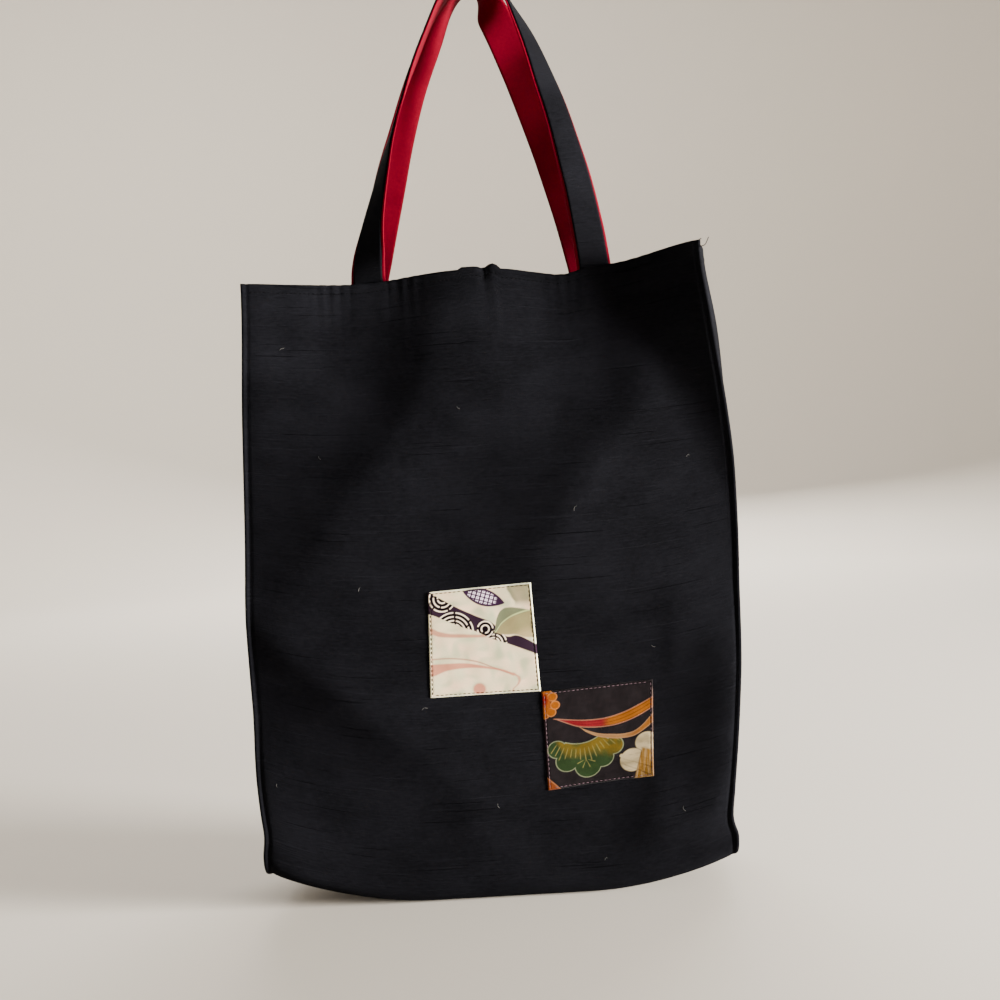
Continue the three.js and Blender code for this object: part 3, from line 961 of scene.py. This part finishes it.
def paint_cream(u, v):
    """The cream patch: flowing lines, a green leaf, the band of rings, a netted leaf and a painted
    highlight along its rim.
    """
    stripe = strip_between(
        u, v, [(0.0, 0.336), (0.09, 0.378), (0.17, 0.404), (0.32, 0.422), (0.56, 0.444)],
        [(0.0, 0.400), (0.09, 0.429), (0.17, 0.443), (0.32, 0.457), (0.56, 0.468)],
    )
    thin = np.abs(v - through(u, [
        (0.0, 0.640), (0.23, 0.646), (0.45, 0.693), (0.62, 0.768), (0.74, 0.813),
    ])) - 0.006
    broad = strip_between(
        u, v, [(0.0, 0.687), (0.16, 0.689), (0.31, 0.694), (0.45, 0.719), (0.57, 0.749),
               (0.68, 0.779), (0.78, 0.816)],
        [(0.0, 0.802), (0.16, 0.756), (0.30, 0.743), (0.45, 0.749), (0.57, 0.769),
         (0.68, 0.797), (0.78, 0.843)],
    )
    hook = np.abs(u - through(v, [
        (0.81, 0.760), (0.854, 0.809), (0.876, 0.816), (0.92, 0.801), (0.97, 0.752),
    ])) - through(v, [(0.81, 0.016), (0.87, 0.014), (0.97, 0.006)])
    oval = np.hypot((u - 0.447) / 1.05, v - 0.945) - 0.055
    cloth = painted(
        (211, 206, 186),
        ((221, 206, 188), 0.35 + 0.5 * mottle(u * 0.5, v * 0.5)),
        ((194, 199, 176), 0.7 * smooth(mottle(v * 0.7 + 0.3, u * 0.6), -0.2, 0.9)),
        ((204, 162, 136), 0.9 * inside(stripe, 0.014) * (1 - smooth(u, 0.50, 0.58))),
        ((190, 140, 116), 0.85 * inside(thin, 0.010) * (1 - smooth(u, 0.70, 0.76))),
        ((208, 148, 122), 0.85 * inside(broad, 0.012) * (1 - smooth(u, 0.76, 0.80))),
        ((204, 162, 136), 0.8 * inside(hook, 0.012) * smooth(v, 0.80, 0.83)),
        ((210, 148, 124), 0.85 * inside(oval, 0.02)),
    )

    leaf_top = [(0.615, 0.430), (0.643, 0.315), (0.668, 0.261), (0.711, 0.220), (0.77, 0.209),
                (0.843, 0.219), (1.0, 0.252)]
    leaf_rib = [(0.615, 0.430), (0.687, 0.354), (0.763, 0.304), (0.860, 0.269), (1.0, 0.249)]
    leaf_low = [(0.615, 0.432), (0.680, 0.452), (0.744, 0.461), (0.819, 0.463), (0.892, 0.492),
                (1.0, 0.500)]
    on_leaf = inside(strip_between(u, v, leaf_top, leaf_low), 0.012) * smooth(u, 0.608, 0.622)
    below_rib = v - through(u, leaf_rib)
    green = painted(
        (120, 134, 100), ((166, 156, 108), smooth(below_rib, -0.004, 0.02)),
        ((196, 182, 142), 0.8 * smooth(below_rib, 0.12, 0.22)),
    )
    shoulder = through(v, [
        (0.0, 0.772), (0.043, 0.765), (0.08, 0.788), (0.124, 0.806), (0.17, 0.832),
    ]) - u
    khaki = painted((130, 131, 98), ((164, 158, 124), smooth(-shoulder, 0.01, 0.06)))
    shadow = np.hypot((u - 1.0) * 2.6, v - 0.40) - 0.10
    band = strip_between(
        u, v, [(0.0, -0.01), (0.042, 0.020), (0.26, 0.160), (0.44, 0.257), (0.61, 0.348),
               (0.73, 0.474), (0.82, 0.472), (1.0, 0.564), (1.2, 0.666)],
        [(0.0, 0.212), (0.04, 0.224), (0.147, 0.276), (0.29, 0.345), (0.44, 0.406),
         (0.59, 0.485), (0.73, 0.541), (1.0, 0.658), (1.2, 0.745)],
    )
    on_band = inside(band) * (1 - on_leaf)
    cloth = painted(
        cloth, (green, 0.93 * on_leaf),
        ((196, 200, 158), inside(np.abs(below_rib) - 0.0065, 0.008) * on_leaf),
        (khaki, 0.85 * inside(shoulder, 0.02) * (1 - smooth(v, 0.14, 0.22))),
        ((128, 118, 80), 0.7 * inside(shadow, 0.03)), ((60, 40, 58), on_band),
    )
    for centre, radii, breaks, turn in (
        ((0.229, 0.405), (0.084, 0.116, 0.152, 0.190), 4, 2.0),
        ((0.140, 0.070), (0.046, 0.086, 0.126), 3, 0.4),
        ((0.603, 0.532), (0.055, 0.084, 0.120), 3, 0.3),
        ((0.533, 0.392), (0.036, 0.072), 1, 1.1),
    ):
        near = inside(disc(u, v, centre, radii[-1] + 0.012))
        dashes = rings(u, v, centre, radii, 0.0054, breaks, turn)
        cloth = painted(cloth, ((26, 13, 21), near * on_band), ((228, 214, 204), dashes * on_band))

    net_leaf, along, across = leaf(u, v, (0.341, 0.027), (0.733, 0.167), 0.079)
    square = np.maximum(np.abs((along * 9.6) % 1 - 0.5), np.abs((across / 0.0345) % 1 - 0.5))
    cell = inside(square - 0.31, 0.10) * (1 - inside(square - 0.12, 0.10))
    netted = cell * inside(net_leaf + 0.022) * (1 - smooth(along, 0.76, 0.82))
    rim = np.minimum(np.minimum(u, 1 - u), np.minimum(v, 1 - v))
    # Painted highlight: a paler line along the raised, turned-under rim, left off where the dark
    # band reaches the edge.
    rim_highlight = (1 - smooth(rim, 0.008, 0.014)) * (1 - on_band)
    return painted(
        cloth, ((70, 42, 72), inside(net_leaf)), ((226, 212, 222), netted),
        ((230, 222, 208), 0.7 * rim_highlight),
    )


def paint_dark(u, v):
    """The charcoal patch: a pine sprig, two ribbons, a plum blossom and a half flower."""
    lobes = [
        disc(u, v, centre, radius) for centre, radius in (
            ((0.108, 0.600), 0.087), ((0.196, 0.728), 0.107), ((0.388, 0.797), 0.124),
            ((0.530, 0.735), 0.100), ((0.632, 0.630), 0.090),
        )
    ]
    fan = np.minimum.reduce(lobes + [np.hypot((u - 0.375) / 1.7, v - 0.640) - 0.150])
    hollow = disc(u, v, (0.320, 0.255), 0.313)
    fan = np.maximum(fan, -hollow)
    outward = hollow + 1.2 * np.clip(0.18 - u, 0, 1) - 0.7 * np.clip(u - 0.45, 0, 1)
    needles = painted(
        (140, 116, 38), ((56, 78, 44), smooth(outward, 0.06, 0.17)),
        ((66, 92, 48), 0.5 * smooth(mottle(u * 0.8, v * 0.9), 0.0, 0.8)),
    )
    angle = np.arctan2(v - 0.255, u - 0.320)
    reach = 0.150 + 0.03 * np.cos(angle * 9)
    vein = between(hollow, 0.04, 0.07, reach, reach + 0.03)
    vein = vein * smooth(np.cos(angle * 60), 0.66, 0.96)
    from_stem = disc(u, v, (0.372, 0.735), 0.0)
    spray = smooth(np.cos(np.arctan2(v - 0.735, u - 0.372) * 8 + math.pi), 0.80, 0.97)
    spray = spray * smooth(v, 0.73, 0.75) * between(from_stem, 0.01, 0.02, 0.08, 0.10)

    low = strip_between(
        u, v, [(0.291, 0.384), (0.362, 0.427), (0.479, 0.485), (0.611, 0.513), (0.729, 0.526),
               (0.834, 0.505), (0.909, 0.449), (1.0, 0.345), (1.1, 0.225)],
        [(0.291, 0.388), (0.391, 0.464), (0.477, 0.515), (0.595, 0.552), (0.728, 0.569),
         (0.833, 0.555), (0.923, 0.501), (1.0, 0.440), (1.1, 0.350)],
    )
    tan = painted((184, 144, 94), ((182, 120, 48), smooth(u, 0.62, 0.92)))
    high_top = [(0.085, 0.284), (0.206, 0.306), (0.352, 0.331), (0.572, 0.336), (0.72, 0.304),
                (0.868, 0.242), (1.0, 0.172), (1.12, 0.105)]
    high_foot = [(0.085, 0.288), (0.175, 0.329), (0.276, 0.382), (0.422, 0.419), (0.569, 0.429),
                 (0.717, 0.412), (0.866, 0.359), (1.0, 0.284), (1.12, 0.210)]
    high = strip_between(u, v, high_top, high_foot)
    top = through(u, high_top)
    across = (v - top) / np.maximum(through(u, high_foot) - top, 0.004)
    streak = smooth(np.cos(across * 19 + u * 3), 0.55, 0.95)
    golden = smooth(u, 0.50, 0.62)
    ribbon = painted(
        (168, 40, 48), ((184, 114, 32), smooth(u, 0.52, 0.62)),
        ((118, 18, 28), 0.8 * streak * (1 - golden)), ((136, 76, 18), 0.7 * streak * golden),
    )
    cloth = painted(
        (38, 33, 35),
        ((48, 41, 44), 0.5 + 0.5 * mottle(u * 1.2, v * 1.2)),
        ((162, 168, 136), inside(fan - 0.004, 0.005)),
        (needles, inside(fan + 0.004, 0.005)),
        ((166, 156, 92), 0.8 * vein * inside(fan + 0.02)),
        ((176, 170, 104), 0.7 * spray),
        ((190, 156, 116), inside(low - 0.001, 0.005) * smooth(u, 0.285, 0.30)),
        (tan, inside(low + 0.008, 0.006)),
        ((186, 138, 112), inside(high - 0.001, 0.005) * smooth(u, 0.08, 0.10)),
        (ribbon, inside(high + 0.008, 0.006)),
    )

    for centre, radius in (
        ((0.040, 0.030), 0.050), ((0.092, 0.062), 0.042), ((0.012, 0.236), 0.040),
        ((0.073, 0.214), 0.044), ((0.112, 0.148), 0.042),
    ):
        petal = disc(u, v, centre, radius)
        cloth = painted(
            cloth, ((204, 150, 84), inside(petal - 0.003, 0.005)),
            ((184, 106, 22), inside(petal + 0.006, 0.006)),
        )
    heart = np.hypot(u, (v - 0.125) / 1.35) - 0.075
    red_eye = np.hypot(u - 0.012, (v - 0.085) / 1.5)
    cloth = painted(
        cloth, ((182, 100, 24), inside(heart, 0.03)),
        ((154, 32, 26), 1 - smooth(red_eye, 0.015, 0.06)),
    )

    fold_line = 0.888 - 0.24 * (v - 0.725)
    upper_petal = np.maximum(disc(u, v, (0.940, 0.640), 0.108), 0.549 - 0.534 * (u - 0.857) - v)
    left_petal = np.minimum(disc(u, v, (0.805, 0.806), 0.118), disc(u, v, (0.703, 0.750), 0.020))
    left_petal = np.maximum(left_petal, u - fold_line)
    crease = smooth(mottle(u * 0.8, v * 3.2), 0.1, 0.7)
    for petal, shaded in ((upper_petal, 0.61), (left_petal, 0.83)):
        cream = painted(
            (200, 190, 164), ((172, 158, 120), 0.6 * bump(v, shaded, 0.035)),
            ((164, 150, 118), 0.35 * crease),
        )
        cloth = painted(
            cloth, ((138, 120, 88), inside(petal - 0.002, 0.005)),
            (cream, inside(petal + 0.003, 0.006)),
        )
    gold = np.maximum(fold_line - u, 0.700 + 0.3 * (u - 0.915) - v)
    grain = smooth(mottle(u * 5, v * 0.5), -0.3, 0.6)
    corner = ((u - 0.008) / 0.102 - (v - 0.875) / 0.114) * 0.075
    turned = inside(u - 0.012, 0.008) * between(v, 0.26, 0.30, 0.84, 0.87)
    return DARK_DEPTH * painted(
        cloth,
        (painted((172, 128, 52), ((192, 170, 126), 0.75 * grain)), inside(gold, 0.02)),
        ((190, 132, 86), inside(corner - 0.003, 0.005)),
        ((164, 84, 38), inside(corner + 0.007, 0.006)),
        ((134, 108, 98), 0.7 * inside(0.992 - u, 0.006) * smooth(v, 0.06, 0.12)),
        ((62, 34, 42), 0.7 * turned),
    )


kimono_weave = weave_group(
    "kimono_silk_weave", warp_pitch=0.00030, weft_pitch=0.00034, streak=(120.0, 900.0),
    streak_weight=0.3,
)
patch_silk = cloth_material(
    "kimono_silk", kimono_weave, dark=(0.86, 0.86, 0.86, 1.0), light=(1.0, 1.0, 1.0, 1.0),
    roughness=0.62, sheen=0.04, sheen_tint=(1.0, 1.0, 1.0, 1.0), bump_size=0.0002, dyed=True,
)

for name, corners, size, pattern, slot in (
    ("cream_patch", CREAM_CORNERS, CREAM_SIZE, paint_cream, "cream_silk"),
    ("dark_patch", DARK_CORNERS, DARK_SIZE, paint_dark, "dark_silk"),
):
    patch = cloth_sheet(name + "_cloth", PATCH_CELLS, place_patch(corners, size), 0, pattern)
    dress(patch, name, patch_silk)


# Stitching
# Small machine stitches in black thread along the hem, beside the seams and on the edges of the
# handles, and in brown and mauve around the patches. Each is a little bead pressed into the cloth.

STITCH_PITCH = 0.0029
STITCH_LENGTH = 0.0022
STITCH_RADIUS = 0.00026
STITCH_OUT = -0.4 * STITCH_RADIUS
HEM_STITCH_SHARE = 1 - HEM_STITCH_DROP / WALL_RUN
HEM_STITCH_REACH = 0.965
HANDLE_STITCH_RADIUS = 0.00022
HANDLE_STITCH_EDGE = 0.86
HANDLE_STITCH_OUT = 0.00110
HANDLE_STITCH_SPAN = (0.065, 0.935)
BLACK_THREAD = (0.0020, 0.0020, 0.0025, 1.0)
MAUVE_THREAD = (0.13, 0.082, 0.10, 1.0)
BROWN_THREAD = (0.010, 0.007, 0.006, 1.0)


def thread_material(name, colour):
    """Twisted thread: fine slanting plies that raise its surface, with painted shade darkening the
    grooves between them.
    """
    material = plain_material(name, colour, 0.7)
    tree = material.node_tree
    place = tree.nodes.new("ShaderNodeTexCoord").outputs["Object"]
    plies = add_node(
        tree, "ShaderNodeTexWave", {"Vector": place, "Scale": 900.0, "Distortion": 2.0},
        bands_direction="DIAGONAL",
    ).outputs["Fac"]
    # Painted shade: the colour drops to 0.6 of itself in the grooves between the plies.
    dark = (*(0.6 * part for part in colour[:3]), 1.0)
    fill(tree, tree.nodes["Principled BSDF"], {
        "Base Color": mixed(tree, plies, dark, colour), "Specular IOR Level": 0.03,
        "Normal": raised(tree, plies, 0.5, 0.0001),
    })
    return material


def evenly(points):
    """Places and ways of the stitches along a line of points."""
    lengths = lengths_along(points)
    at = np.arange(STITCH_PITCH / 2, lengths[-1] - STITCH_PITCH / 2, STITCH_PITCH)
    behind, spots, ahead = (
        rows_at(at + step * STITCH_PITCH / 4, lengths, points) for step in (-1, 0, 1)
    )
    return spots, ahead - behind


def stitch_bead():
    """The corners and faces of one round bead, six by four."""
    bm = bmesh.new()
    bmesh.ops.create_uvsphere(bm, u_segments=6, v_segments=4, radius=1.0)
    bm.verts.ensure_lookup_table()
    corners = np.array([vert.co for vert in bm.verts])
    faces = [[vert.index for vert in face.verts] for face in bm.faces]
    bm.free()
    return corners, faces


def sew(name, lines, material, radius=STITCH_RADIUS):
    """One mesh of stitches along some lines, each given as its x, y and z."""
    bead, bead_faces = stitch_bead()
    bead = bead * (radius, radius, STITCH_LENGTH / 2)
    corners, faces = [], []
    for line in lines:
        for spot, way in zip(*evenly(np.stack(line[:3], axis=1))):
            turn = np.array(Vector(way).to_track_quat("Z", "Y").to_matrix())
            first = len(corners) * len(bead)
            corners.append(bead @ turn.T + spot)
            faces.extend([first + index for index in face] for face in bead_faces)
    mesh = bpy.data.meshes.new(name)
    mesh.from_pydata(np.concatenate(corners).tolist(), [], faces)
    mesh.shade_smooth()
    mesh.update()
    mesh.materials.append(material)
    return new_object(name, mesh)


def share_along(share):
    """Where a share of a panel's wall, from its foot to its hem, lies along the whole cloth."""
    start = BASE_RUN + CURVE_RUN
    return (start + share * WALL_RUN) / (start + WALL_RUN)


def panel_rows(point, edges):
    """The hem row and both seam rows of a panel, just outside its cloth."""
    across = np.linspace(-HEM_STITCH_REACH, HEM_STITCH_REACH, 260)
    rows = [point(across, np.full(260, share_along(HEM_STITCH_SHARE)), STITCH_OUT)]
    share = np.linspace(0.02, HEM_STITCH_SHARE, 300)
    left, right = edges(share)
    beside = 1 - 2 * SEAM_RIDGE / (right - left)
    return rows + [point(side * beside, share_along(share), STITCH_OUT) for side in (-1, 1)]


gusset_across = np.linspace(-0.9, 0.9, 60)
gusset_rows = [
    gusset_point(side, gusset_across, np.full(60, HEM_STITCH_SHARE), STITCH_OUT) for side in (-1, 1)
]
black_thread = thread_material("black_thread", BLACK_THREAD)
body_stitches = sew(
    "bag_stitches",
    panel_rows(front_point, front_edges) + panel_rows(back_point, back_edges) + gusset_rows,
    black_thread,
)
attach(body_stitches, "bag")

for which, path in handle_paths.items():
    lay = place_strip(path, HANDLE_WIDTH / 2, HANDLE_STITCH_OUT, STRIP_CROWN, which == "back")
    along = np.linspace(*HANDLE_STITCH_SPAN, 700)
    rows = [lay(np.full(700, edge * HANDLE_STITCH_EDGE), along) for edge in (-1, 1)]
    handle_stitches = sew(f"{which}_handle_stitches", rows, black_thread, HANDLE_STITCH_RADIUS)
    bend_at_hem(handle_stitches)

for name, corners, size, colour, radius in (
    ("cream_patch", CREAM_CORNERS, CREAM_SIZE, BROWN_THREAD, 0.00034),
    ("dark_patch", DARK_CORNERS, DARK_SIZE, MAUVE_THREAD, 0.00022),
):
    low_u, low_v = PATCH_STITCH_INSET / size[0], PATCH_STITCH_INSET / size[1]
    loop = ((low_u, low_v), (1 - low_u, low_v), (1 - low_u, 1 - low_v), (low_u, 1 - low_v))
    rows = []
    for (u0, v0), (u1, v1) in zip(loop, loop[1:] + loop[:1]):
        u, v = np.linspace(u0, u1, 60), np.linspace(v0, v1, 60)
        x, y, z, _, _ = place_patch(corners, size)(u * 2 - 1, 1 - v)
        rows.append((x, y - STITCH_RADIUS * 0.3, z))
    thread = thread_material(name + "_thread", colour)
    patch_stitches = sew(name + "_stitches", rows, thread, radius)
    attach(patch_stitches, "bag")


# Loose threads
# A frayed thread end at the right corner of the hem, and a few short fibres caught on the silk.
# Each is a thin five-sided thread that lies close to the cloth.

FIBRE_RADIUS = 0.00009
FIBRE_SIDES = 5
FIBRE_BOW = 0.22
PALE_FIBRE = (0.16, 0.155, 0.15, 1.0)


def strand(bm, points, radius):
    """A thin thread through some points."""
    points = [Vector(point) for point in points]
    loops = []
    for index, point in enumerate(points):
        way = points[min(index + 1, len(points) - 1)] - points[max(index - 1, 0)]
        turn = way.to_track_quat("Z", "Y")
        angles = [math.tau * k / FIBRE_SIDES for k in range(FIBRE_SIDES)]
        loops.append([
            bm.verts.new(point + turn @ Vector((radius * math.cos(a), radius * math.sin(a), 0)))
            for a in angles
        ])
    for lower, upper in zip(loops, loops[1:]):
        for k in range(FIBRE_SIDES):
            after = (k + 1) % FIBRE_SIDES
            bm.faces.new((lower[k], lower[after], upper[after], upper[k]))
    bm.faces.new(loops[0][::-1])
    bm.faces.new(loops[-1])


bm = bmesh.new()
corner_x, corner_y, corner_z, _ = front_point(np.array([0.995]), np.array([1.0]))
for knots in (
    [(0.0, -0.0006, -0.0044), (0.5, 0.0036, -0.0032), (0.72, 0.0046, -0.0014),
     (1.0, 0.0060, 0.0014)],
    [(0.0, -0.0008, -0.0010), (0.6, 0.0006, 0.0006), (1.0, 0.0012, 0.0004)],
):
    share = np.linspace(0, 1, 14)
    path = np.stack([
        corner_x + through(share, [(at, x) for at, x, _ in knots]),
        corner_y + 0.0004 * share,
        corner_z + through(share, [(at, z) for at, _, z in knots]),
    ], axis=1)
    strand(bm, path, FIBRE_RADIUS * 3)
frayed_end = smooth_piece("frayed_end", bm, black_thread)
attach(frayed_end, "bag")

bm = bmesh.new()
for x, drop, length, turn in (
    (-0.134, -0.045, 0.0030, 0.4), (-0.112, -0.118, 0.0024, 2.2), (0.052, -0.160, 0.0036, 1.1),
    (0.098, -0.252, 0.0026, 2.7), (-0.052, -0.284, 0.0040, 0.2), (-0.150, -0.328, 0.0022, 1.6),
    (0.112, -0.358, 0.0034, 2.0), (0.060, -0.390, 0.0024, 0.9), (-0.020, -0.090, 0.0022, 2.5),
    (-0.090, -0.205, 0.0028, 1.3), (0.128, -0.130, 0.0024, 0.6), (-0.008, -0.350, 0.0026, 1.9),
):
    share = np.linspace(-0.5, 0.5, 8)
    along = length * share
    bow = FIBRE_BOW * length * np.cos(share * 3.0)
    px = x + along * math.cos(turn) - bow * math.sin(turn)
    pz = HEM + drop + along * math.sin(turn) + bow * math.cos(turn)
    py = -front_depth(px, pz) - FIBRE_RADIUS * 1.2
    strand(bm, np.stack([px, py, pz], axis=1), FIBRE_RADIUS)
lint = smooth_piece("lint", bm, thread_material("pale_fibre", PALE_FIBRE))
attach(lint, "bag")
